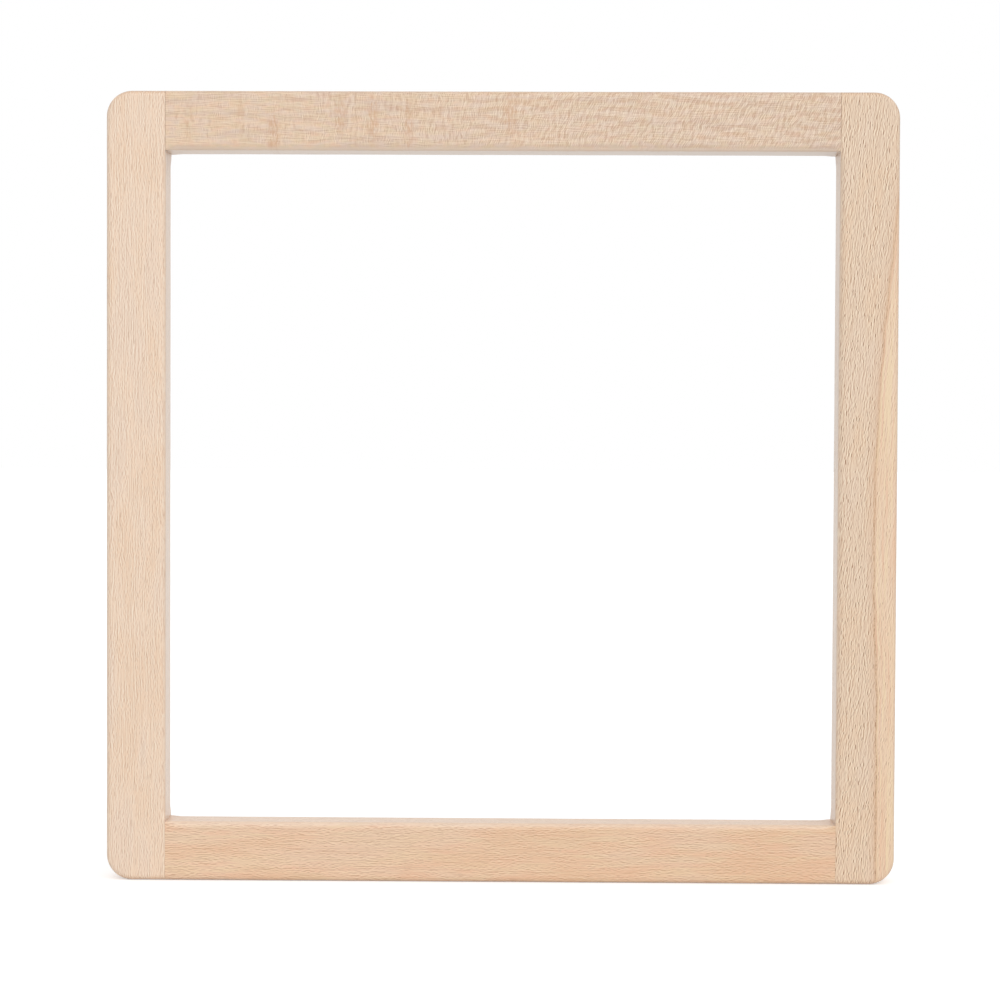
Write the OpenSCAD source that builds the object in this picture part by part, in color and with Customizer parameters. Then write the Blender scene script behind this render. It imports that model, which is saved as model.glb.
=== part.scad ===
// Square frame loom for weaving, made of planed beech.
//
// Two full-height stiles stand left and right, and two rails sit between them with butt joints.
// Two fluted dowels, hidden in the wood, hold each joint. After the glue-up the four outside
// corners are rounded, and a roundover bit with a guide bearing is run round the outside and
// round the window, on both faces. The bearing cannot reach into the corners of the window, so
// the window keeps sharp corners and only the edge of the face turns there in an arc.
//
// X is the width, Y the thickness and Z the height, in millimetres. The front face looks along -Y.
// The origin is at the middle of the bottom edge, half way through the thickness.

/* [Frame] */
// Width over both stiles
frame_w = 400; // [250:5:600]
// Height of the stiles, from the bottom edge to the top edge
frame_h = 400; // [250:5:600]
// Thickness of all four strips, from front face to back face
thickness = 20; // [16:0.5:30]
// Width of a stile, seen from the front
stile_w = 30; // [28:1:50]
// Width of a rail, seen from the front
rail_w = 30; // [28:1:50]

/* [Rounded corners and edges] */
// Radius of the four outside corners
corner_r = 13; // [7:0.5:16]
// Radius of the roundover along every outside and window edge
edge_r = 3; // [1:0.25:6]
// Radius of the guide bearing that rolls along the walls of the window
bearing_r = 6.35; // [4:0.05:10]

/* [Dowel joints] */
// Diameter of a dowel over its lands
dowel_d = 8; // [6:0.5:10]
// Length of a dowel
dowel_l = 30; // [20:1:36]
// Distance from the edge of the rail to the axis of the nearer dowel
dowel_inset = 7.5; // [6:0.25:8]
// Space for glue round a dowel, measured on the radius
glue_line = 0.05; // [0.02:0.01:0.1]
// Space for glue beyond each end of a dowel
glue_room = 1; // [0.5:0.25:2]
// Width of the chamfer on a dowel's ends
dowel_chamfer = 0.8; // [0.3:0.1:1.5]
// Number of glue flutes round a dowel
flute_count = 18; // [8:1:22]
// Depth of a flute
flute_depth = 0.3; // [0.1:0.05:0.4]
// Radius of the rounded tool that presses a flute
flute_r = 0.5; // [0.4:0.05:0.8]

/* [Hidden] */
$fn = 96;

// How far a cutter runs on past the face that it opens
overrun = 1;

// Half sizes of the frame and of the window in it, from their shared middle
half_w = frame_w / 2;
half_h = frame_h / 2;
window_half_w = half_w - stile_w;
window_half_h = half_h - rail_w;

// From the middle to the axes of the rounded corners, and to where the bearing stops in the
// corners of the window
corner_x = half_w - corner_r;
corner_y = half_h - corner_r;
turn_x = window_half_w - bearing_r;
turn_y = window_half_h - bearing_r;

// The holes for the dowels, drilled half into the stile and half into the end of the rail
dowel_r = dowel_d / 2;
hole_r = dowel_r + glue_line;
hole_depth = dowel_l / 2 + glue_room;

// Names for the sides and the places in a joint, used as signs
left = -1;
right = 1;
top = 1;
bottom = -1;
outer = 1;
inner = -1;

// Colour of each strip's wood, and of the dowels
left_stile_wood = [0.92, 0.82, 0.72];
right_stile_wood = [0.90, 0.79, 0.69];
top_rail_wood = [0.87, 0.77, 0.68];
bottom_rail_wood = [0.90, 0.78, 0.67];
dowel_wood = [0.86, 0.73, 0.58];

// The frame is drawn lying down, with the middle of its window at the origin and its front face
// up, and is stood on its bottom edge here.
module stand_up() {
    translate([0, 0, half_h]) rotate([90, 0, 0]) children();
}

// Outline of the whole frame with its rounded corners
module outline() {
    square([2 * corner_x, frame_h], center = true);
    square([frame_w, 2 * corner_y], center = true);
    for (side = [left, right], level = [bottom, top])
        translate([side * corner_x, level * corner_y]) circle(corner_r);
}

// Section of what the roundover bit takes away. The guided wall is at X = 0 with the wood on
// the +X side of it, and the face of the frame is at Y = 0.
module waste_section() {
    difference() {
        translate([-overrun, -edge_r]) square(edge_r + overrun);
        translate([edge_r, -edge_r]) circle(edge_r);
    }
}

// Waste along a straight edge that runs along Y, with the wood on the +X side
module straight_waste(length) {
    rotate([90, 0, 0]) linear_extrude(length, center = true) waste_section();
}

// Waste round an outside corner of the frame, for the quarter between +X and +Y
module corner_waste() {
    rotate_extrude(angle = 90) translate([corner_r, 0]) mirror([1, 0]) waste_section();
}

// Waste where the bit turns in a corner of the window, for the quarter between +X and +Y. The
// axis is where the bearing stops, with a wall of the window on each side of it.
module turn_waste() {
    rotate_extrude(angle = 90) translate([bearing_r, 0]) waste_section();
}

// Everything that the bit takes off the front face: once round the outside and once round the
// window
module face_waste() {
    for (flip = [0, 1]) {
        mirror([flip, 0, 0]) {
            translate([-half_w, 0, 0]) straight_waste(2 * corner_y);
            translate([window_half_w, 0, 0]) straight_waste(2 * turn_y);
        }
        mirror([0, flip, 0]) {
            translate([0, -half_h, 0]) rotate(90) straight_waste(2 * corner_x);
            translate([0, window_half_h, 0]) rotate(90) straight_waste(2 * turn_x);
        }
    }
    for (flip_x = [0, 1], flip_y = [0, 1]) mirror([flip_x, 0, 0]) mirror([0, flip_y, 0]) {
        translate([corner_x, corner_y, 0]) corner_waste();
        translate([turn_x, turn_y, 0]) turn_waste();
    }
}

// The waste of both faces
module routed_waste() {
    for (flip = [0, 1]) mirror([0, 0, flip]) translate([0, 0, thickness / 2]) face_waste();
}

// Moves a piece drawn along Z at the origin to a dowel's axis. side is left or right, level is
// top or bottom, and place is outer or inner in the joint.
module at_dowel(side, level, place) {
    from_middle = window_half_h + rail_w / 2 + place * (rail_w / 2 - dowel_inset);
    translate([side * window_half_w, level * from_middle, 0]) rotate([0, 90, 0]) children();
}

// All the dowel holes, each as one hole that crosses the joint
module dowel_holes() {
    for (side = [left, right], level = [bottom, top], place = [inner, outer])
        at_dowel(side, level, place) cylinder(r = hole_r, h = 2 * hole_depth, center = true);
}

// A strip of the frame: the part of the outline inside a rectangle, planed, drilled and routed
module strip(size, centre) {
    stand_up() difference() {
        linear_extrude(thickness, center = true) intersection() {
            outline();
            translate(centre) square(size, center = true);
        }
        routed_waste();
        dowel_holes();
    }
}

// A full-height upright
module stile(side) {
    strip([stile_w, frame_h], [side * (half_w - stile_w / 2), 0]);
}

// A cross piece between the stiles
module rail(level) {
    strip([2 * window_half_w, rail_w], [0, level * (half_h - rail_w / 2)]);
}

// A dowel with chamfered ends and flutes for the glue
module dowel(side, level, place) {
    half_l = dowel_l / 2;
    end_r = dowel_r - dowel_chamfer;
    shoulder = half_l - dowel_chamfer;
    color(dowel_wood) stand_up() at_dowel(side, level, place) difference() {
        rotate_extrude() polygon([
            [0, -half_l], [end_r, -half_l], [dowel_r, -shoulder],
            [dowel_r, shoulder], [end_r, half_l], [0, half_l]
        ]);
        for (i = [0 : flute_count - 1])
            rotate(i * 360 / flute_count) translate([dowel_r + flute_r - flute_depth, 0, 0])
                cylinder(r = flute_r, h = dowel_l + 2 * overrun, center = true);
    }
}

module left_stile() {
    color(left_stile_wood) stile(left);
}

module right_stile() {
    color(right_stile_wood) stile(right);
}

module top_rail() {
    color(top_rail_wood) rail(top);
}

module bottom_rail() {
    color(bottom_rail_wood) rail(bottom);
}

left_stile();
right_stile();
top_rail();
bottom_rail();
dowel(left, top, outer);  // dowel_top_left_outer
dowel(left, top, inner);  // dowel_top_left_inner
dowel(right, top, outer);  // dowel_top_right_outer
dowel(right, top, inner);  // dowel_top_right_inner
dowel(left, bottom, outer);  // dowel_bottom_left_outer
dowel(left, bottom, inner);  // dowel_bottom_left_inner
dowel(right, bottom, outer);  // dowel_bottom_right_outer
dowel(right, bottom, inner);  // dowel_bottom_right_inner
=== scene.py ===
# A square frame loom for weaving: four strips of beech, glued up over hidden dowels and rounded
# with a router, standing in a plain white studio.
import math

import bmesh
import bpy
from mathutils import Matrix, Vector, noise


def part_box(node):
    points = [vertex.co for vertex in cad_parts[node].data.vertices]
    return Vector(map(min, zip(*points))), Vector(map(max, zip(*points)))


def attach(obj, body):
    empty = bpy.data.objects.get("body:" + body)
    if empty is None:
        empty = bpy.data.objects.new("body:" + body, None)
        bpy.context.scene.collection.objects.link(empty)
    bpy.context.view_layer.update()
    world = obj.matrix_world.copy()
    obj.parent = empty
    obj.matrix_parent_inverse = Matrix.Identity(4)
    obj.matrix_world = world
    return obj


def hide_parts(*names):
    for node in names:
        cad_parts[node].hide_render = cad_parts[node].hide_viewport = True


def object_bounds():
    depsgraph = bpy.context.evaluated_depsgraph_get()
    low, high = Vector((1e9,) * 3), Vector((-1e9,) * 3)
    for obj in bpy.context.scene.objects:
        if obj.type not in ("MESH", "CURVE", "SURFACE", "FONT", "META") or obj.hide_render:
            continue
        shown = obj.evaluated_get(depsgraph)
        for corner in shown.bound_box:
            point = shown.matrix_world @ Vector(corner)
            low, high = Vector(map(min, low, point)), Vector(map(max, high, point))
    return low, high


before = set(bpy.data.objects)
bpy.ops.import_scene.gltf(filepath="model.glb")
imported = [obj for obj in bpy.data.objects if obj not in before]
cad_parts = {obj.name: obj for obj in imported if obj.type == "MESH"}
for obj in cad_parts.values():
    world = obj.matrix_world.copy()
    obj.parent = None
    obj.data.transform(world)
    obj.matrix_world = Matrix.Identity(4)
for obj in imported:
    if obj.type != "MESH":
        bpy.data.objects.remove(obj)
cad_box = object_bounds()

MM = 0.001
LEFT, RIGHT = -1, 1
BOTTOM, TOP = -1, 1

# Sizes of the frame, in millimetres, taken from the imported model
FRAME_HIGH = cad_box[1] / MM
RAIL_LOW, RAIL_HIGH = [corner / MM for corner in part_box("top_rail")]
HALF_W = FRAME_HIGH.x
HALF_T = FRAME_HIGH.y
FRAME_H = FRAME_HIGH.z
JOINT_X = RAIL_HIGH.x
RAIL_W = FRAME_H - RAIL_LOW.z
STILE_W = HALF_W - JOINT_X
MIDDLE_Z = FRAME_H / 2

# Radii of the outside corners, of the roundover and of the guide bearing. Then how far the
# sander makes the roundover's radius and the walls uneven, and over what length. All of them are
# in millimetres.
CORNER_R = 13.0
EDGE_R = 3.0
BEARING_R = 6.35
EDGE_R_DRIFT = 0.15
WALL_DRIFT = 0.08
DRIFT_LENGTH = 28.0

# Where in the random values the unevenness of the walls and of the edges of both faces is read
WALL_PHASE, FRONT_PHASE, BACK_PHASE = 0, 40, 120

# Space for the glue round a dowel and beyond each of its ends, in millimetres
HOLE_CLEARANCE = 0.05
HOLE_ROOM = 1.0

# How finely the strips are meshed: steps of each arc, the gap between stations on a straight
# run and the flat band beside a roundover, both in millimetres, and the sides of a dowel hole
ARC_STEPS = 8
CORNER_STEPS = 14
TURN_STEPS = 10
STATION_GAP = 5.0
FLAT_BAND = 0.6
HOLE_SIDES = 48

# Edges that turn more than this are sharp, in degrees
SHARP_ANGLE = 32

# Places closer together than this are one place, in millimetres
SAME_PLACE = 1e-4

# Width of the bevel that shows as a hairline at each joint, in millimetres
SEAMS = {
    (LEFT, TOP): 0.12,
    (RIGHT, TOP): 0.12,
    (LEFT, BOTTOM): 0.07,
    (RIGHT, BOTTOM): 0.05,
}

# Camera, worked out from the corners and joint lines of the frame in the photograph: places and
# focal length in millimetres, and roll in degrees
CAMERA_PLACE = Vector((12.25, -1103.29, 220.37))
CAMERA_AIM = Vector((-0.51, -10.0, 194.16))
CAMERA_ROLL = 0.245
FOCAL_LENGTH = 77.98
SENSOR_WIDTH = 36


def linear(red, green, blue):
    """A colour written as it shows on screen, from 0 to 255, as the shader reads it."""
    shares = [value / 255 for value in (red, green, blue)]
    return [s / 12.92 if s <= 0.04045 else ((s + 0.055) / 1.055) ** 2.4 for s in shares]


# Camera and studio

def add_camera():
    data = bpy.data.cameras.new("camera")
    data.sensor_width = SENSOR_WIDTH
    data.lens = FOCAL_LENGTH
    camera = bpy.data.objects.new("camera", data)
    bpy.context.scene.collection.objects.link(camera)
    forward = (CAMERA_AIM - CAMERA_PLACE).to_track_quat("-Z", "Y").to_matrix()
    turn = forward @ Matrix.Rotation(math.radians(CAMERA_ROLL), 3, "Z")
    camera.matrix_world = Matrix.Translation(CAMERA_PLACE * MM) @ turn.to_4x4()
    bpy.context.scene.camera = camera


def seen_directly(nodes, links):
    """1 for what the camera sees directly, in a reflection or through glass, and 0 for light."""
    path = nodes.new("ShaderNodeLightPath")
    total = path.outputs["Is Camera Ray"]
    for name in ("Is Glossy Ray", "Is Transmission Ray"):
        either = nodes.new("ShaderNodeMath")
        either.operation = "MAXIMUM"
        links.new(total, either.inputs[0])
        links.new(path.outputs[name], either.inputs[1])
        total = either.outputs[0]
    return total


def add_world(light):
    """A white surround for the camera that lights the object evenly, at a lower strength."""
    world = bpy.data.worlds.new("studio")
    world.use_nodes = True
    bpy.context.scene.world = world
    nodes, links = world.node_tree.nodes, world.node_tree.links
    background = nodes["Background"]
    background.inputs["Color"].default_value = (1, 1, 1, 1)
    strength = nodes.new("ShaderNodeMapRange")
    strength.inputs["To Min"].default_value = light
    strength.inputs["To Max"].default_value = 1
    links.new(seen_directly(nodes, links), strength.inputs["Value"])
    links.new(strength.outputs["Result"], background.inputs["Strength"])


def add_floor(size, lift):
    """A pale floor that the loom stands on. Its own light lifts it to white where no shadow
    falls."""
    mesh = bpy.data.meshes.new("floor")
    half = size / 2
    corners = [(-half, -half, 0), (half, -half, 0), (half, half, 0), (-half, half, 0)]
    mesh.from_pydata(corners, [], [(0, 1, 2, 3)])
    floor = bpy.data.objects.new("floor", mesh)
    bpy.context.scene.collection.objects.link(floor)
    material = bpy.data.materials.new("floor_white")
    material.use_nodes = True
    nodes, links = material.node_tree.nodes, material.node_tree.links
    shader = nodes["Principled BSDF"]
    shader.inputs["Base Color"].default_value = (0.86, 0.86, 0.86, 1)
    shader.inputs["Roughness"].default_value = 0.9
    shader.inputs["Specular IOR Level"].default_value = 0
    shader.inputs["Emission Color"].default_value = (1, 1, 1, 1)
    strength = nodes.new("ShaderNodeMath")
    strength.operation = "MULTIPLY"
    links.new(seen_directly(nodes, links), strength.inputs[0])
    strength.inputs[1].default_value = lift
    links.new(strength.outputs[0], shader.inputs["Emission Strength"])
    mesh.materials.append(material)


def add_sun(name, towards, angle, strength):
    """A large soft light, far away. towards points from the loom to the light, and angle is how
    wide the light looks, in degrees."""
    data = bpy.data.lights.new(name, "SUN")
    data.angle = math.radians(angle)
    data.energy = strength * math.pi
    light = bpy.data.objects.new(name, data)
    bpy.context.scene.collection.objects.link(light)
    light.rotation_mode = "QUATERNION"
    light.rotation_quaternion = Vector(towards).to_track_quat("Z", "Y")


def add_studio():
    add_world(light=0.65)
    add_floor(size=40, lift=0.40)
    add_sun("key", towards=(0.30, -0.81, 0.50), angle=90, strength=0.32)
    add_sun("fill", towards=(-0.1, -1.0, 0.1), angle=120, strength=0.09)


# Meshes of the strips. A station is a place on the edge of a strip, seen from the front, where
# the routed section is drawn: its place and the direction into the wood are pairs of X and Z.

def drift(x, z, phase):
    """A slow, smooth unevenness from -1 to 1 that is the same each time."""
    return noise.noise(Vector((x, phase, z)) / DRIFT_LENGTH)


def out_of_corner(x, z):
    """0 in the corners of the window, and 1 a few millimetres away."""
    reach = max(abs(abs(x) - JOINT_X), abs(abs(z - MIDDLE_Z) - (MIDDLE_Z - RAIL_W)))
    return min(1, reach / BEARING_R)


def quarter_turn(steps):
    """Angles from 0 to a right angle."""
    return [math.pi / 2 * i / steps for i in range(steps + 1)]


def spread(start, end, gap):
    """Evenly spaced values from start to end, no further apart than gap."""
    steps = max(1, math.ceil(abs(end - start) / gap))
    return [start + (end - start) * i / steps for i in range(steps + 1)]


def section(x, z, past_turn):
    """The routed section at a place on an edge, as pairs of inset from the wall and depth below
    the front face, from front to back. past_turn is how far the place lies past the point where
    the bearing stops, in a corner of the window."""
    halves = []
    for phase in (FRONT_PHASE, BACK_PHASE):
        radius = EDGE_R + EDGE_R_DRIFT * drift(x, z, phase)
        points = [(radius + FLAT_BAND, 0)]
        for angle in quarter_turn(ARC_STEPS):
            points.append((radius * (1 - math.sin(angle)), radius * (1 - math.cos(angle))))
        points.append((0, radius + FLAT_BAND))
        halves.append([(turned_inset(inset, past_turn), depth) for inset, depth in points])
    front, back = halves
    return front + [(inset, 2 * HALF_T - depth) for inset, depth in reversed(back)]


def turned_inset(inset, past_turn):
    """The inset where the bit turns on the spot: it grows out of the bearing's own circle."""
    reach = (BEARING_R + inset) ** 2 - past_turn ** 2
    return max(0, math.sqrt(max(0, reach)) - BEARING_R)


def add_row(mesh, x, z, into_x, into_z, past_turn=0):
    """One row of vertices across the routed edge at a station."""
    wall = WALL_DRIFT * (0.5 + 0.5 * drift(x, z, WALL_PHASE)) * out_of_corner(x, z)
    row = []
    for inset, depth in section(x, z, past_turn):
        reach = wall + inset
        point = Vector((x + into_x * reach, depth - HALF_T, z + into_z * reach))
        row.append(mesh.verts.new(point * MM))
    return row


def window_places(half_length):
    """Places along one wall of the window, from its middle, closer together in its corners."""
    turn = half_length - BEARING_R
    fine = [turn + BEARING_R * math.sin(angle) for angle in quarter_turn(TURN_STEPS)[1:]]
    return [-place for place in reversed(fine)] + spread(-turn, turn, STATION_GAP) + fine


def length_past_turn(place, half_length):
    """How far a place along a wall of the window lies past the point where the bearing stops."""
    return max(0, abs(place) - (half_length - BEARING_R))


def join_rows(mesh, rows):
    for row, following in zip(rows, rows[1:]):
        for a, b, c, d in zip(row, row[1:], following[1:], following):
            mesh.faces.new((a, b, c, d))


def rail_mesh(level):
    """A rail as a loft of closed sections, with a fine bevel round both ends."""
    mesh = bmesh.new()
    wall_z = MIDDLE_Z + level * (MIDDLE_Z - RAIL_W)
    edge_z = MIDDLE_Z + level * MIDDLE_Z
    loops = []
    for x in window_places(JOINT_X):
        side = RIGHT if x > 0 else LEFT
        at_end = JOINT_X - abs(x) < SAME_PLACE
        at = x - side * SEAMS[side, level] if at_end else x
        window_row = add_row(mesh, at, wall_z, 0, level, length_past_turn(x, JOINT_X))
        edge_row = add_row(mesh, at, edge_z, 0, -level)
        loops.append(window_row + edge_row[::-1])
    ends = [bevelled_end(mesh, loops[0], LEFT, level), bevelled_end(mesh, loops[-1], RIGHT, level)]
    loops = [ends[0]] + loops + [ends[1]]
    for loop, following in zip(loops, loops[1:]):
        join_rows(mesh, [loop + loop[:1], following + following[:1]])
    for end in ends:
        mesh.faces.new(end)
    return mesh


def bevelled_end(mesh, loop, side, level):
    """The end face of a rail, drawn in by the width of its seam all round."""
    seam = SEAMS[side, level]
    middle_z = MIDDLE_Z + level * (MIDDLE_Z - RAIL_W / 2)
    end = []
    for vertex in loop:
        point = vertex.co / MM
        y = point.y * (1 - seam / HALF_T)
        z = middle_z + (point.z - middle_z) * (1 - 2 * seam / RAIL_W)
        end.append(mesh.verts.new(Vector((side * JOINT_X, y, z)) * MM))
    return end


def outer_stations(side):
    """Stations round the outside of a stile, from its bottom joint to its top joint, each as a
    place and a direction into the wood."""
    corner_x = HALF_W - CORNER_R
    stations = [((x, 0), (0, 1)) for x in spread(JOINT_X, corner_x, STATION_GAP)[:-1]]
    for angle in quarter_turn(CORNER_STEPS):
        sine, cosine = math.sin(angle), math.cos(angle)
        place = (corner_x + CORNER_R * sine, CORNER_R - CORNER_R * cosine)
        stations.append((place, (-sine, cosine)))
    for z in spread(CORNER_R, FRAME_H - CORNER_R, STATION_GAP)[1:-1]:
        stations.append(((HALF_W, z), (-1, 0)))
    for angle in quarter_turn(CORNER_STEPS):
        sine, cosine = math.sin(angle), math.cos(angle)
        place = (corner_x + CORNER_R * cosine, FRAME_H - CORNER_R + CORNER_R * sine)
        stations.append((place, (-cosine, -sine)))
    stations += [((x, FRAME_H), (0, -1)) for x in spread(corner_x, JOINT_X, STATION_GAP)[1:]]
    return [((side * x, z), (side * into_x, into_z)) for (x, z), (into_x, into_z) in stations]


def stile_mesh(side):
    """A stile: its routed outside and window edges, joined by flat faces and joint faces."""
    mesh = bmesh.new()
    outside = [add_row(mesh, *place, *into) for place, into in outer_stations(side)]
    half_window = MIDDLE_Z - RAIL_W
    inside = []
    for along in window_places(half_window):
        past_turn = length_past_turn(along, half_window)
        inside.append(add_row(mesh, side * JOINT_X, MIDDLE_Z + along, side, 0, past_turn))
    join_rows(mesh, outside)
    join_rows(mesh, inside)

    lower, upper = split_end(inside[0], side), split_end(inside[-1], side)
    front = [row[0] for row in outside] + upper["front"][::-1]
    front += [row[0] for row in inside[-2:0:-1]] + lower["front"]
    back = [row[-1] for row in outside] + upper["back"]
    back += [row[-1] for row in inside[-2:0:-1]] + lower["back"][::-1]
    bottom_end = outside[0] + lower["wall"][::-1]
    top_end = outside[-1] + upper["wall"][::-1]
    for ring in (front, back, bottom_end, top_end):
        mesh.faces.new(ring)
    return mesh


def split_end(row, side):
    """The last row of a window edge, split into what lies on the front face, on the wall and on
    the back face."""
    wall_x = (JOINT_X + SAME_PLACE) * MM
    on_wall = [i for i, vertex in enumerate(row) if side * vertex.co.x < wall_x]
    first, last = on_wall[0], on_wall[-1]
    return {"front": row[:first + 1], "wall": row[first:last + 1], "back": row[last:]}


def add_object(name, mesh):
    bmesh.ops.recalc_face_normals(mesh, faces=mesh.faces)
    data = bpy.data.meshes.new(name)
    mesh.to_mesh(data)
    mesh.free()
    piece = bpy.data.objects.new(name, data)
    bpy.context.scene.collection.objects.link(piece)
    return piece


def dowel_cutter():
    """Round cutters for all the dowel holes, each centred on a joint."""
    mesh = bmesh.new()
    for name in sorted(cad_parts):
        if not name.startswith("dowel"):
            continue
        low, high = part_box(name)
        radius = (high.z - low.z) / 2 + HOLE_CLEARANCE * MM
        length = high.x - low.x + 2 * HOLE_ROOM * MM
        turn = Matrix.Translation((low + high) / 2) @ Matrix.Rotation(math.pi / 2, 4, "Y")
        bmesh.ops.create_cone(
            mesh, cap_ends=True, segments=HOLE_SIDES, radius1=radius, radius2=radius,
            depth=length, matrix=turn)
    return add_object("dowel_cutter", mesh)


def add_strip(node, mesh, cutter, material):
    """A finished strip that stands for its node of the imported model."""
    piece = add_object(node + "_wood", mesh)
    drill = piece.modifiers.new("dowel_holes", "BOOLEAN")
    drill.operation = "DIFFERENCE"
    drill.solver = "EXACT"
    drill.object = cutter
    evaluated = piece.evaluated_get(bpy.context.evaluated_depsgraph_get())
    drilled = bpy.data.meshes.new_from_object(evaluated)
    piece.modifiers.clear()
    piece.data = drilled
    drilled.name = piece.name
    drilled.materials.clear()
    drilled.materials.append(material)
    drilled.shade_smooth()
    drilled.set_sharp_from_angle(angle=math.radians(SHARP_ANGLE))
    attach(piece, "root")
    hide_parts(node)


# Nodes of a material

class Number:
    """A number that a material works out at each point of a surface."""

    def __init__(self, graph, socket):
        self.graph = graph
        self.socket = socket

    def math(self, operation, *others):
        values = dict(enumerate([self, *others]))
        return self.graph.number("ShaderNodeMath", values, operation=operation)

    def __add__(self, other):
        return self.math("ADD", other)

    def __sub__(self, other):
        return self.math("SUBTRACT", other)

    def __mul__(self, other):
        return self.math("MULTIPLY", other)

    def __truediv__(self, other):
        return self.math("DIVIDE", other)

    def absolute(self):
        return self.math("ABSOLUTE")

    def ramp(self, start, end):
        """0 up to start, 1 from end on, and smooth between them. start may be above end."""
        values = {"Value": self, "From Min": start, "From Max": end}
        return self.graph.number(
            "ShaderNodeMapRange", values, "Result", interpolation_type="SMOOTHSTEP")

    def stretch(self, low, high):
        """Spreads 0 to 1 over low to high."""
        return self * (high - low) + low


class Graph:
    """The nodes of one material."""

    def __init__(self, name):
        self.material = bpy.data.materials.new(name)
        self.material.use_nodes = True
        self.tree = self.material.node_tree
        self.shader = self.tree.nodes["Principled BSDF"]

    def plug(self, socket, value):
        if isinstance(value, Number):
            value = value.socket
        if isinstance(value, bpy.types.NodeSocket):
            self.tree.links.new(value, socket)
        else:
            socket.default_value = value

    def add(self, kind, values, **settings):
        node = self.tree.nodes.new(kind)
        for name, value in settings.items():
            setattr(node, name, value)
        for key, value in values.items():
            self.plug(node.inputs[key], value)
        return node

    def number(self, kind, values, output=0, **settings):
        return Number(self, self.add(kind, values, **settings).outputs[output])

    def vector(self, *parts):
        return self.add("ShaderNodeCombineXYZ", dict(enumerate(parts))).outputs[0]

    def place(self):
        """The place on the object, as X, Y and Z in millimetres."""
        where = self.add("ShaderNodeTexCoord", {}).outputs["Object"]
        parts = self.add("ShaderNodeSeparateXYZ", {"Vector": where}).outputs
        return [Number(self, part) / MM for part in parts]

    def facing(self, axis):
        """How far the surface faces along an axis, from 0 to 1."""
        where = self.add("ShaderNodeTexCoord", {}).outputs["Normal"]
        parts = self.add("ShaderNodeSeparateXYZ", {"Vector": where}).outputs
        return Number(self, parts["XYZ".index(axis)]).absolute()

    def noise(self, *parts, detail=1.0, roughness=0.5):
        """Smooth random values about 0.5, with a change about every unit of the parts."""
        values = {
            "Vector": self.vector(*parts), "Scale": 1.0, "Detail": detail, "Roughness": roughness}
        return self.number("ShaderNodeTexNoise", values, "Fac", noise_dimensions="3D")

    def cells(self, across, along):
        """How far a point lies across and along from the middle of its random cell, counted in
        cells, and two random values of the cell."""
        values = {"Vector": self.vector(across, along, 0.0), "Scale": 1.0, "Randomness": 1.0}
        node = self.add("ShaderNodeTexVoronoi", values, voronoi_dimensions="2D", feature="F1")
        middle = self.add("ShaderNodeSeparateXYZ", {"Vector": node.outputs["Position"]}).outputs
        colour = self.add("ShaderNodeSeparateColor", {"Color": node.outputs["Color"]}).outputs
        off, ahead = across - Number(self, middle[0]), along - Number(self, middle[1])
        return off.absolute(), ahead.absolute(), Number(self, colour[0]), Number(self, colour[1])

    def tint(self, base, tone, amount):
        """Mixes a tone over the base by the amount. The base is a tone too, or what an earlier
        tint gave."""
        node = self.add("ShaderNodeMix", {"Factor": amount}, data_type="RGBA")
        self.plug(node.inputs["A"], rgba(base) if isinstance(base, tuple) else base)
        self.plug(node.inputs["B"], rgba(tone))
        return node.outputs["Result"]

    def tint_both_ways(self, colour, value, full, above, above_amount, below, below_amount):
        """One tone where the value is above 0 and another where it is below. full is the value
        at which they have their full amount."""
        colour = self.tint(colour, below, value.ramp(0, -full) * below_amount)
        return self.tint(colour, above, value.ramp(0, full) * above_amount)


def rgba(tone):
    return (*linear(*tone), 1.0)


# Grain. Every tone is a colour written as it shows on screen, from 0 to 255.

# Ways in the tree: round the pith, along the trunk and out from the pith
TURN, ALONG, OUT = 0, 1, 2

# Tones that all strips share
END_GRAIN = (226, 184, 148)
# Painted shade that darkens the outside roundovers
OUTER_EDGE_SHADE = (184, 148, 120)
# Painted light that pales the roundovers of the window
WINDOW_EDGE_LIGHT = (250, 230, 212)
WARM_WALL = (232, 194, 150)
WALL_SHADE = (120, 104, 92)
SEAM_DUST = (168, 132, 104)

# How far the fibres wander on their way along a strip and how long one sweep is, then how far
# they waver and how long and wide one ripple is, in millimetres
WANDER = 1.4
WANDER_LENGTH = 60
WAVER = 0.1
WAVER_LENGTH = 9.0
WAVER_WIDTH = 5.0

# How long and wide one kink in the figure of a rail is, and how far left of the middle the
# figure starts to lean and right of it leans fully, in millimetres
KINK_LENGTH = 25
KINK_WIDTH = 4
LEAN_SPAN = 60

# The colour and the hairs of a strip change from minus this to plus this along it, in
# millimetres. A rail is measured from its middle and a stile from its foot, so that a stile
# shows only the second half of the change.
COLOUR_SPAN = 220
HAIR_SPAN = 200

# Patches in which hairs are stronger or weaker are this many hairs across
HAIR_PATCH = 6

# How far apart two layers of clouds and two layers of hairs of one strip are read in the random
# values, and how many times its seed its rays are moved along
CLOUD_STEP = 17
HAIR_STEP = 31.7
RAY_SEED_TIMES = 3.7

# A ray, seen end on: how far from its middle line it is gone and is full, where the middle of
# its pale flank lies, and how far from there that is gone and is full, in millimetres. Then half
# the lengths of the shortest and the longest ray, as shares of the pitch.
RAY_FADE = (0.26, 0.04)
FLANK_PLACE = 0.50
FLANK_FADE = (0.28, 0.05)
RAY_REACH = (0.12, 0.30)

# Depth behind the wall of the window at which the burnish of the bit is gone and is full, and at
# which the painted light that pales the roundovers of the window is gone and is full, in
# millimetres
BURNISH_DEPTH = (0.8, 0.2)
EDGE_LIGHT_DEPTH = (3.2, 2.4)

# Depth behind the wall over which the grain beside the window passes into the rest, in
# millimetres, and how strong the grain is on the wall itself
WINDOW_DEPTH = (2.0, 5.5)
WALL_GRAIN = 0.6

# Distance from a joint at which the dust in it is gone and is full, in millimetres
SEAM_REACH = (0.45, 0.1)

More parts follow.
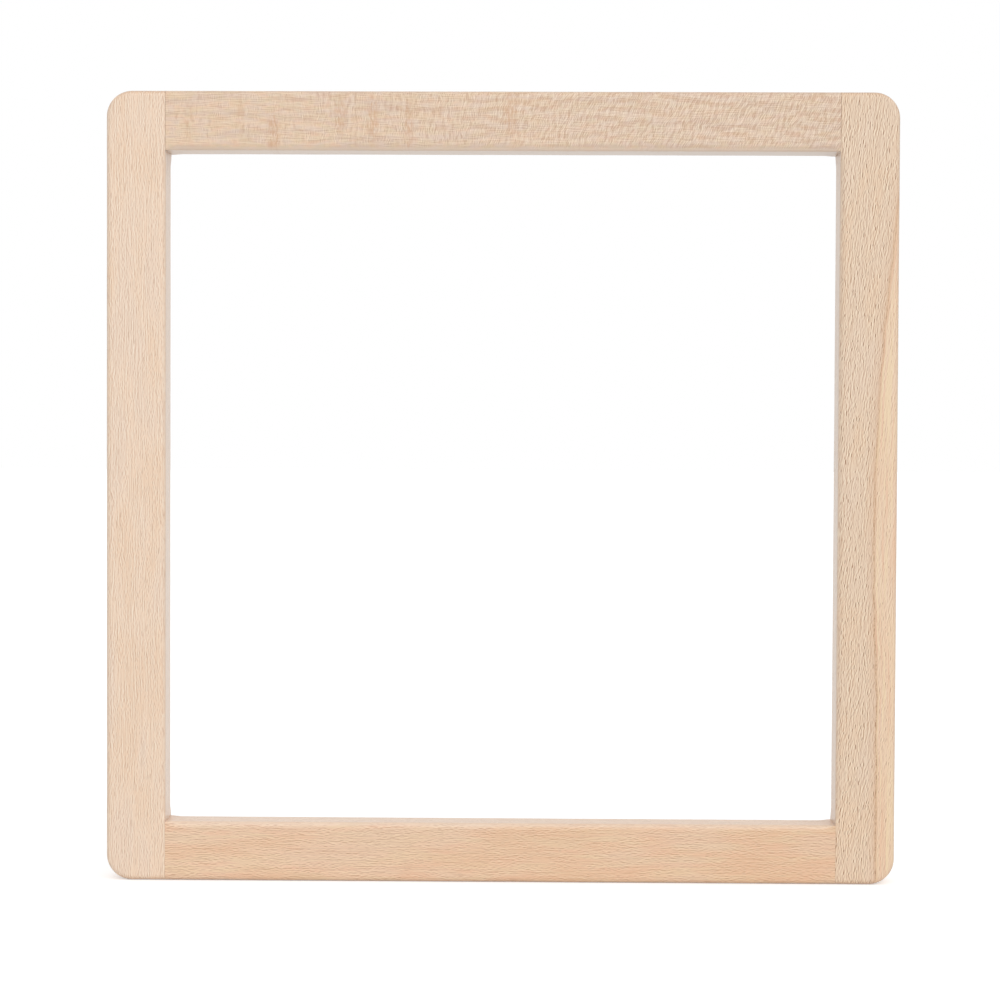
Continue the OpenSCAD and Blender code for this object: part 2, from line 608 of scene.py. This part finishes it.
# Relief of the grain for one unit of height, in millimetres, and the roughness of the smoothest
# and the roughest hairs
RELIEF = 0.08
ROUGHNESS = (0.26, 0.34)


class Clouds:
    """Slow changes of colour between two tones, weaker on the sides that face neither front nor
    back. size is how far one reaches each way in the tree, in millimetres."""

    # The value at which both tones have their full amount, and how strong they are on the sides
    FULL = 0.15
    ON_SIDES = 0.2

    def __init__(self, size, one, one_amount, other, other_amount):
        self.size = size
        self.tones = (one, one_amount, other, other_amount)

    def paint(self, graph, colour, tree, seed):
        seat = [way / size + seed for way, size in zip(tree, self.size)]
        on_side = graph.facing("Y").stretch(self.ON_SIDES, 1.0)
        value = (graph.noise(*seat, detail=1) - 0.5) * on_side
        return graph.tint_both_ways(colour, value, self.FULL, *self.tones)


class Hairs:
    """Fine pale and dark lines. size is how far one reaches each way in the tree, in millimetres,
    thin is the way across which pale and dark take turns, uneven is how much stronger they are
    in some places than in others, ends is how strong they are HAIR_SPAN before and HAIR_SPAN
    past the place that the strip is measured from, and sides is how strong they are on the front
    and back faces and on the other sides."""

    # The value at which both tones have their full amount
    FULL = 0.3

    def __init__(
            self, size, thin, dark, dark_amount, pale, pale_amount,
            uneven=0.3, ends=(1.0, 1.0), sides=(1.0, 1.0)):
        self.size = size
        self.thin = thin
        self.uneven = uneven
        self.ends = ends
        self.sides = sides
        self.tones = (dark, dark_amount, pale, pale_amount)

    def line(self, graph, tree, seed, step):
        """Random values counted in hairs, some steps across from the point itself."""
        seat = [way / size + seed for way, size in zip(tree, self.size)]
        seat[self.thin] = seat[self.thin] + step
        return graph.noise(*seat, detail=0)

    def paint(self, graph, colour, tree, seed, strength):
        """The colour with the hairs on it, and how far they stand out."""
        here, before, after = [self.line(graph, tree, seed, step) for step in (0, -1, 1)]
        value = here - (before + after) * 0.5
        patch = [way / size / HAIR_PATCH + seed for way, size in zip(tree, self.size)]
        share = graph.noise(*patch, detail=3, roughness=0.75).ramp(0.3, 0.7)
        share = share.stretch(1 - self.uneven, 1 + self.uneven)
        at_end = tree[ALONG].ramp(-HAIR_SPAN, HAIR_SPAN).stretch(*self.ends)
        on_side = graph.facing("Y").stretch(self.sides[1], self.sides[0])
        value = value * share * at_end * on_side * strength
        return graph.tint_both_ways(colour, value, self.FULL, *self.tones), value


class Rays:
    """Broad rays: short dark dashes where they are cut end on, with paler wood on both sides.
    gap and pitch are how far apart they stand across and along the fibres, in millimetres, and
    share is how many of them are broad enough to show."""

    # The random value at which a ray would be fully dark, and the share of its length within
    # which it doesn't fade
    FULL = 1.15
    CORE = 0.4

    def __init__(self, gap, pitch, share, dark, dark_amount, flank, flank_amount):
        self.gap = gap
        self.pitch = pitch
        self.share = share
        self.dark = dark
        self.dark_amount = dark_amount
        self.flank = flank
        self.flank_amount = flank_amount

    def paint(self, graph, colour, tree, seed, strength):
        """The colour with the rays on it, and how deep they lie."""
        along = tree[ALONG] / self.pitch + seed * RAY_SEED_TIMES
        off, ahead, chance, size = graph.cells(tree[TURN] / self.gap, along)
        broad = chance.ramp(1 - self.share, self.FULL)
        length = (ahead / size.stretch(*RAY_REACH)).ramp(1.0, self.CORE) * broad
        dash = (off * self.gap).ramp(*RAY_FADE) * length * strength
        flank = (off * self.gap - FLANK_PLACE).absolute().ramp(*FLANK_FADE) * length
        colour = graph.tint(colour, self.flank, flank * self.flank_amount)
        return graph.tint(colour, self.dark, dash * self.dark_amount), dash


def tree_ways(graph, look, x, y, z):
    """Where a point of the strip lay in its tree: round the pith, along the trunk and out from
    the pith. The fibres wander a little on their way along the strip."""
    upright = look["runs"] == "up"
    along = z if upright else x
    across = (x if upright else z) - look["middle"]
    sweep = graph.noise(along / WANDER_LENGTH, look["seed"], 0.0, detail=0.5)
    ripple = graph.noise(along / WAVER_LENGTH, across / WAVER_WIDTH, y / WAVER_WIDTH, detail=0)
    pith_across, pith_behind = look["pith"]
    strayed = across + sweep.stretch(-WANDER, WANDER) + ripple.stretch(-WAVER, WAVER)
    from_pith = strayed - pith_across
    behind = y * -1 + pith_behind
    out = (from_pith * from_pith + behind * behind).math("SQRT")
    turn = from_pith.math("ARCTAN2", behind) * look["reach"]
    if upright:
        return turn - along * look["lean"], along, out
    kink = graph.noise(across / KINK_WIDTH, along / KINK_LENGTH, 6.0, detail=0)
    slant = across * along.ramp(-LEAN_SPAN, LEAN_SPAN) * look["lean"]
    return turn, along - slant + kink.stretch(-look["kink"], look["kink"]), out


def beyond_wall(x, z):
    """How deep a point lies behind the nearest wall of the window, in millimetres."""
    past_x = x.absolute() - JOINT_X
    past_z = (z - MIDDLE_Z).absolute() - (MIDDLE_Z - RAIL_W)
    return past_x.math("MAXIMUM", past_z)


def routed_wall(x, z):
    """1 on the walls of the window, where the bit burnishes the fibres, and 0 on the wood
    behind them."""
    return beyond_wall(x, z).ramp(*BURNISH_DEPTH)


# The edge of a growth layer crosses the right stile in a flat curve. It lies furthest in at its
# height, by its inset, and runs out from there by its run over one span of height. From this
# many spans on it runs straight down. All lengths are in millimetres.
GROWTH_HEIGHT = 172
GROWTH_INSET = 11.8
GROWTH_RUN = 12.5
GROWTH_SPAN = 180
GROWTH_STRAIGHT = -0.39

# How far the growth line turns in for each millimetre of depth, how far it wobbles and over what
# height, the width and length of a stripe outside it, and the length of a break in it
GROWTH_TURN = 0.4
GROWTH_WOBBLE = 1.2
GROWTH_WOBBLE_LENGTH = 22
GROWTH_STRIPE = (1.1, 70)
GROWTH_BREAK = 4.0

# Heights above which the growth line is faintest and below which it is strongest
GROWTH_FAINT, GROWTH_STRONG = 230, 120

# Tones outside the growth line, just inside it and on it
OUTSIDE_GROUND = (240, 207, 175)
OUTSIDE_PALE_STRIPE = (242, 218, 178)
OUTSIDE_ORANGE_STRIPE = (232, 184, 150)
INSIDE_SHADE = (218, 182, 152)
GROWTH_GLOW = (206, 160, 120)
GROWTH_CORE = (142, 98, 66)


def paint_growth_line(graph, colour, x, y, z):
    """The growth line of the right stile. Outside it the wood is warmer and plainer."""
    rise = ((z - GROWTH_HEIGHT) / GROWTH_SPAN).math("MAXIMUM", GROWTH_STRAIGHT)
    line = (rise * rise) * -GROWTH_RUN + GROWTH_INSET + (y + HALF_T) * GROWTH_TURN
    wobble = graph.noise(z / GROWTH_WOBBLE_LENGTH, 3.0, 5.0, detail=2)
    inside = x * -1 + HALF_W - line + wobble.stretch(-GROWTH_WOBBLE, GROWTH_WOBBLE)
    outside = inside.ramp(0.6, -0.6)
    width, length = GROWTH_STRIPE
    stripe = graph.noise(inside / width, z / length, 2.0)
    colour = graph.tint(colour, OUTSIDE_GROUND, outside * 0.42)
    colour = graph.tint(colour, OUTSIDE_PALE_STRIPE, outside * stripe.ramp(0.5, 0.62) * 0.5)
    colour = graph.tint(colour, OUTSIDE_ORANGE_STRIPE, outside * stripe.ramp(0.46, 0.34) * 0.4)
    colour = graph.tint(colour, INSIDE_SHADE, inside.ramp(0.0, 1.0) * inside.ramp(5.5, 1.0) * 0.30)

    off_line = inside.absolute()
    stronger_below = z.ramp(GROWTH_FAINT, GROWTH_STRONG).stretch(0.5, 0.85)
    broken = graph.noise(z / GROWTH_BREAK, 8.0, 1.0, detail=3, roughness=0.7).ramp(0.42, 0.62)
    core = off_line.ramp(0.35, 0.05) * stronger_below * broken
    colour = graph.tint(colour, GROWTH_GLOW, off_line.ramp(1.4, 0.0) * 0.45)
    return graph.tint(colour, GROWTH_CORE, core * 0.9)


# Brown stripes on the top rail: place as X and Z, half width and half height, and amount
PATCHES = [
    (-158.0, 384, 3.0, 13, 0.35),
    (-132.0, 388, 2.5, 14, 0.30),
    (-115.3, 378, 4.5, 13, 0.70),
    (-81.6, 386, 4.0, 12, 0.60),
    (-65.5, 385, 4.0, 16, 0.60),
    (-47.2, 382, 3.2, 18, 0.55),
    (3.8, 389, 4.5, 14, 0.50),
]
PATCH_BROWN = (206, 162, 126)

# Width and length of the streaks that break them up, in millimetres
PATCH_STREAK = (0.9, 3.5)


def paint_patches(graph, colour, x, z):
    """Brown stripes across the top rail, where the cut grazes a broad ray."""
    width, length = PATCH_STREAK
    broken = graph.noise(x / width, z / length, 0.0, detail=1).ramp(0.35, 0.65)
    for place_x, place_z, half_x, half_z, amount in PATCHES:
        far_x = (x - place_x) / half_x
        far_z = (z - place_z) / half_z
        patch = (far_x * far_x + far_z * far_z).ramp(1.0, 0.0) * broken
        colour = graph.tint(colour, PATCH_BROWN, patch * amount)
    return colour


def paint_edges(graph, colour, look, x, z):
    """Painted shade darkens the outside roundovers and painted light pales the roundovers of the
    window. The walls of the window, burnished by the bit, are warmer and carry painted shade by
    shaded_wall, and a hairline of glue and dust shows at the joints."""
    past_x = x.absolute() - (HALF_W - EDGE_R)
    past_z = (z - MIDDLE_Z).absolute() - (MIDDLE_Z - EDGE_R)
    outer_edge = past_x.math("MAXIMUM", past_z).ramp(0.0, 0.1)
    front = graph.facing("Y")
    # Painted shade on the outside roundovers and painted light on the roundovers of the window
    outer_edge_shade = outer_edge * front.ramp(0.0, 0.4) * front.ramp(0.95, 0.45)
    edge_light = beyond_wall(x, z).ramp(*EDGE_LIGHT_DEPTH) * front.ramp(1.0, 0.7) * front.ramp(0.0, 0.2)
    wall = routed_wall(x, z) * (front * -1 + 1)
    seam = (x.absolute() - JOINT_X).absolute().ramp(*SEAM_REACH)
    # Painted shade on the outside roundovers, painted light on the window's roundovers, a warm
    # tint and painted shade on the walls, and dust in the joints
    colour = graph.tint(colour, OUTER_EDGE_SHADE, outer_edge_shade * look["edge_shade"])
    colour = graph.tint(colour, WINDOW_EDGE_LIGHT, edge_light * look["edge_light"])
    colour = graph.tint(colour, WARM_WALL, wall * 0.16)
    colour = graph.tint(colour, WALL_SHADE, wall * look["shaded_wall"])
    return graph.tint(colour, SEAM_DUST, seam * look["seam"])


def finish_surface(graph, height, ray):
    """Fine relief and a dull sheen. Dark hairs stand out a little, rays lie deeper, and both are
    rougher."""
    values = {"Strength": 0.1, "Distance": RELIEF * MM, "Height": height - ray}
    bump = graph.add("ShaderNodeBump", values)
    roughness = height.ramp(-0.5, 0.5).stretch(*ROUGHNESS) + ray * 0.08
    graph.plug(graph.shader.inputs["Roughness"], roughness)
    graph.plug(graph.shader.inputs["Normal"], bump.outputs[0])
    graph.shader.inputs["Specular IOR Level"].default_value = 0.5
    graph.shader.inputs["Sheen Weight"].default_value = 0.5
    graph.shader.inputs["Sheen Roughness"].default_value = 0.3


def beech(name, look):
    """Solid beech, with rays, growth rings and fibres where the tree's own geometry puts them."""
    graph = Graph(name)
    x, y, z = graph.place()
    tree = tree_ways(graph, look, x, y, z)
    along_span = tree[ALONG].ramp(-COLOUR_SPAN, COLOUR_SPAN)
    colour = graph.tint(look["colour"], look["far_colour"], along_span)
    end_grain = graph.facing("Z" if look["runs"] == "up" else "X").ramp(0.1, 0.9)
    colour = graph.tint(colour, END_GRAIN, end_grain * 0.6)
    for number, clouds in enumerate(look["clouds"]):
        colour = clouds.paint(graph, colour, tree, look["seed"] + CLOUD_STEP * number)

    near_window = beyond_wall(x, z).ramp(*WINDOW_DEPTH).stretch(look["at_window"], 1.0)
    strength = routed_wall(x, z).stretch(1.0, WALL_GRAIN) * near_window
    height = None
    for number, hairs in enumerate(look["hairs"]):
        seed = look["seed"] + HAIR_STEP * number
        colour, value = hairs.paint(graph, colour, tree, seed, strength)
        height = value if height is None else height + value
    ray_strength = strength * graph.facing("Y").stretch(look["ray_flecks"], 1.0)
    colour, ray = look["rays"].paint(graph, colour, tree, look["seed"], ray_strength)
    if look.get("growth_line"):
        colour = paint_growth_line(graph, colour, x, y, z)
    if look.get("patches"):
        colour = paint_patches(graph, colour, x, z)
    colour = paint_edges(graph, colour, look, x, z)
    graph.plug(graph.shader.inputs["Base Color"], colour)
    finish_surface(graph, height, ray)
    return graph.material


# How each strip looks. runs, middle, pith and reach say how it lies in its tree: which way its
# fibres run, where its own middle is, the pith's place across from that and behind it, and the
# radius at which one millimetre round the pith is true. seed is where its random values are
# read, lean is how far the fibres slant, and kink is how far the figure of a rail is pushed
# along. colour and far_colour are the ground before and past COLOUR_SPAN. at_window is how
# strong the grain is beside the window, and ray_flecks how strong the rays are on the sides that
# face neither front nor back. edge_shade, edge_light, shaded_wall and seam are the amounts of the
# tones along its edges: painted shade on the outside roundovers, painted light on the roundovers
# of the window, painted shade on the walls of the window, and dust in the joints.
LOOKS = {
    "left_stile": {
        "runs": "up", "middle": -(JOINT_X + STILE_W / 2), "pith": (6.0, 85.0), "reach": 85.0,
        "seed": 1.3, "lean": 0.0,
        "colour": (239, 213, 188), "far_colour": (240, 213, 188),
        "clouds": [
            Clouds(
                size=(9.0, 46.0, 8.0), one=(236, 204, 174), one_amount=0.5,
                other=(234, 210, 190), other_amount=0.5),
        ],
        "hairs": [
            Hairs(
                size=(0.45, 2.4, 0.7), thin=TURN, dark=(188, 144, 114), dark_amount=0.40,
                pale=(255, 244, 226), pale_amount=0.42,
                uneven=0.7, ends=(0.8, 1.06), sides=(1.0, 0.7)),
            Hairs(
                size=(0.45, 11.0, 0.9), thin=TURN, dark=(198, 158, 128), dark_amount=0.35,
                pale=(253, 241, 222), pale_amount=0.35,
                uneven=0.7, ends=(0.8, 1.06), sides=(1.0, 0.7)),
            Hairs(
                size=(14.0, 90.0, 0.9), thin=OUT, dark=(214, 178, 148), dark_amount=0.32,
                pale=(246, 226, 204), pale_amount=0.26, sides=(0, 1)),
        ],
        "rays": Rays(
            gap=1.0, pitch=10.0, share=0.35, dark=(172, 122, 86), dark_amount=0.6,
            flank=(250, 234, 212), flank_amount=0.1),
        "at_window": 1.0, "ray_flecks": 0.4,
        "edge_shade": 0.4, "edge_light": 0.10, "shaded_wall": 0.0, "seam": 0.2,
    },
    "right_stile": {
        "runs": "up", "middle": JOINT_X + STILE_W / 2, "pith": (-4.0, 70.0), "reach": 70.0,
        "seed": 7.9, "lean": 0.10,
        "colour": (229, 202, 175), "far_colour": (229, 203, 177),
        "clouds": [
            Clouds(
                size=(9.0, 46.0, 8.0), one=(232, 200, 168), one_amount=0.5,
                other=(230, 206, 184), other_amount=0.5),
        ],
        "hairs": [
            Hairs(
                size=(0.44, 2.4, 0.7), thin=TURN, dark=(172, 122, 86), dark_amount=0.56,
                pale=(255, 240, 214), pale_amount=0.56, uneven=0.7, sides=(1.0, 0.5)),
            Hairs(
                size=(0.44, 6.0, 0.9), thin=TURN, dark=(176, 130, 96), dark_amount=0.40,
                pale=(254, 236, 210), pale_amount=0.42, uneven=0.7, sides=(1.0, 0.7)),
            Hairs(
                size=(14.0, 90.0, 0.9), thin=OUT, dark=(204, 162, 126), dark_amount=0.40,
                pale=(246, 224, 198), pale_amount=0.30, sides=(0, 1)),
        ],
        "rays": Rays(
            gap=1.2, pitch=6.0, share=1.0, dark=(136, 80, 42), dark_amount=1.0,
            flank=(255, 240, 214), flank_amount=0.7),
        "growth_line": True,
        "at_window": 1.0, "ray_flecks": 0.3,
        "edge_shade": 0.4, "edge_light": 0.10, "shaded_wall": 0.0, "seam": 0.2,
    },
    "top_rail": {
        "runs": "across", "middle": FRAME_H - RAIL_W / 2, "pith": (-110.0, 8.0), "reach": 110.0,
        "seed": 4.1, "lean": 0.45, "kink": 0.8,
        "colour": (233, 204, 175), "far_colour": (217, 193, 170),
        "clouds": [
            Clouds(
                size=(4.0, 5.0, 3.0), one=(230, 190, 164), one_amount=0.50,
                other=(212, 196, 170), other_amount=0.45),
            Clouds(
                size=(20.0, 40.0, 4.0), one=(232, 196, 164), one_amount=0.4,
                other=(208, 182, 164), other_amount=0.6),
            Clouds(
                size=(9.0, 7.0, 3.0), one=(222, 196, 160), one_amount=0.5,
                other=(222, 198, 184), other_amount=0.5),
        ],
        "hairs": [
            Hairs(
                size=(0.5, 0.5, 3.0), thin=ALONG, dark=(184, 150, 122), dark_amount=0.55,
                pale=(250, 230, 206), pale_amount=0.60,
                uneven=0.7, ends=(0.35, 1.65), sides=(1.0, 0.2)),
            Hairs(
                size=(1.2, 1.5, 4.0), thin=ALONG, dark=(190, 152, 124), dark_amount=0.40,
                pale=(248, 228, 206), pale_amount=0.30,
                uneven=0.8, ends=(0.35, 1.4), sides=(1.0, 0.2)),
            Hairs(
                size=(8.0, 6.0, 0.5), thin=OUT, dark=(196, 162, 134), dark_amount=0.40,
                pale=(244, 222, 196), pale_amount=0.40,
                uneven=0.6, ends=(1.2, 0.9), sides=(1.0, 0.25)),
            Hairs(
                size=(9.0, 9.0, 2.4), thin=OUT, dark=(202, 162, 134), dark_amount=0.30,
                pale=(242, 220, 200), pale_amount=0.25,
                uneven=0.9, ends=(0.6, 1.5), sides=(1.0, 0.25)),
            Hairs(
                size=(14.0, 90.0, 0.9), thin=OUT, dark=(200, 162, 132), dark_amount=0.35,
                pale=(242, 222, 198), pale_amount=0.30, sides=(0, 1)),
            Hairs(
                size=(0.5, 6.0, 0.9), thin=TURN, dark=(180, 142, 112), dark_amount=0.45,
                pale=(244, 224, 200), pale_amount=0.45, sides=(0, 1)),
        ],
        "rays": Rays(
            gap=0.6, pitch=1.2, share=0.30, dark=(176, 138, 106), dark_amount=0.3,
            flank=(242, 224, 202), flank_amount=0.1),
        "patches": True,
        "at_window": 0.35, "ray_flecks": 1.0,
        "edge_shade": 0.15, "edge_light": 0.45, "shaded_wall": 0.20, "seam": 0.2,
    },
    "bottom_rail": {
        "runs": "across", "middle": RAIL_W / 2, "pith": (3.0, 85.0), "reach": 85.0,
        "seed": 12.6, "lean": 0.0, "kink": 0.0,
        "colour": (238, 204, 175), "far_colour": (231, 192, 157),
        "clouds": [
            Clouds(
                size=(3.0, 22.0, 8.0), one=(232, 188, 156), one_amount=0.6,
                other=(230, 204, 168), other_amount=0.5),
            Clouds(
                size=(9.0, 60.0, 8.0), one=(228, 188, 152), one_amount=0.5,
                other=(230, 200, 174), other_amount=0.5),
        ],
        "hairs": [
            Hairs(
                size=(0.45, 2.4, 0.7), thin=TURN, dark=(182, 134, 100), dark_amount=0.49,
                pale=(255, 232, 202), pale_amount=0.47, uneven=0.7, ends=(1.0, 0.86)),
            Hairs(
                size=(0.45, 12.0, 0.9), thin=TURN, dark=(190, 144, 110), dark_amount=0.33,
                pale=(250, 224, 192), pale_amount=0.32, uneven=0.7, ends=(1.0, 0.86)),
            Hairs(
                size=(14.0, 90.0, 0.9), thin=OUT, dark=(206, 158, 122), dark_amount=0.40,
                pale=(244, 216, 186), pale_amount=0.30, sides=(0, 1)),
        ],
        "rays": Rays(
            gap=1.0, pitch=7.0, share=0.35, dark=(160, 112, 76), dark_amount=0.5,
            flank=(248, 226, 198), flank_amount=0.2),
        "at_window": 1.0, "ray_flecks": 0.4,
        "edge_shade": 0.45, "edge_light": 0.40, "shaded_wall": 0.0, "seam": 0.1,
    },
}


# The hidden dowels

DOWEL_PALE = (216, 186, 154)
DOWEL_DARK = (196, 160, 124)
DOWEL_RAY = (160, 120, 86)

# Length and width of one fibre, and how far apart rays stand along and across, in millimetres
DOWEL_FIBRE = (6.0, 0.3)
DOWEL_RAY_GAP = (4.0, 0.9)


def dowel_beech():
    """Pressed beech of the hidden dowels."""
    graph = Graph("dowel_wood")
    x, y, z = graph.place()
    length, width = DOWEL_FIBRE
    fibre = graph.noise(x / length, y / width, z / width, detail=2)
    ahead_gap, off_gap = DOWEL_RAY_GAP
    off, ahead, chance, size = graph.cells(z / off_gap, x / ahead_gap)
    ray = off.ramp(0.3, 0.1) * (ahead / size.stretch(0.2, 0.4)).ramp(1.0, 0.4) * chance
    colour = graph.tint(DOWEL_PALE, DOWEL_DARK, fibre.ramp(0.35, 0.7))
    colour = graph.tint(colour, DOWEL_RAY, ray * 0.6)
    bump = graph.add("ShaderNodeBump", {"Strength": 0.3, "Distance": 0.0001, "Height": fibre})
    graph.plug(graph.shader.inputs["Base Color"], colour)
    graph.plug(graph.shader.inputs["Roughness"], fibre.stretch(0.35, 0.55))
    graph.plug(graph.shader.inputs["Normal"], bump.outputs[0])
    return graph.material


def finish_dowels(material):
    for name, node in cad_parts.items():
        if name.startswith("dowel"):
            node.data.materials.clear()
            node.data.materials.append(material)


add_camera()
add_studio()
bpy.context.scene.view_settings.view_transform = "Standard"

cutter = dowel_cutter()
for side, name in ((LEFT, "left_stile"), (RIGHT, "right_stile")):
    add_strip(name, stile_mesh(side), cutter, beech(name + "_grain", LOOKS[name]))
for level, name in ((TOP, "top_rail"), (BOTTOM, "bottom_rail")):
    add_strip(name, rail_mesh(level), cutter, beech(name + "_grain", LOOKS[name]))
bpy.data.objects.remove(cutter)
finish_dowels(dowel_beech())
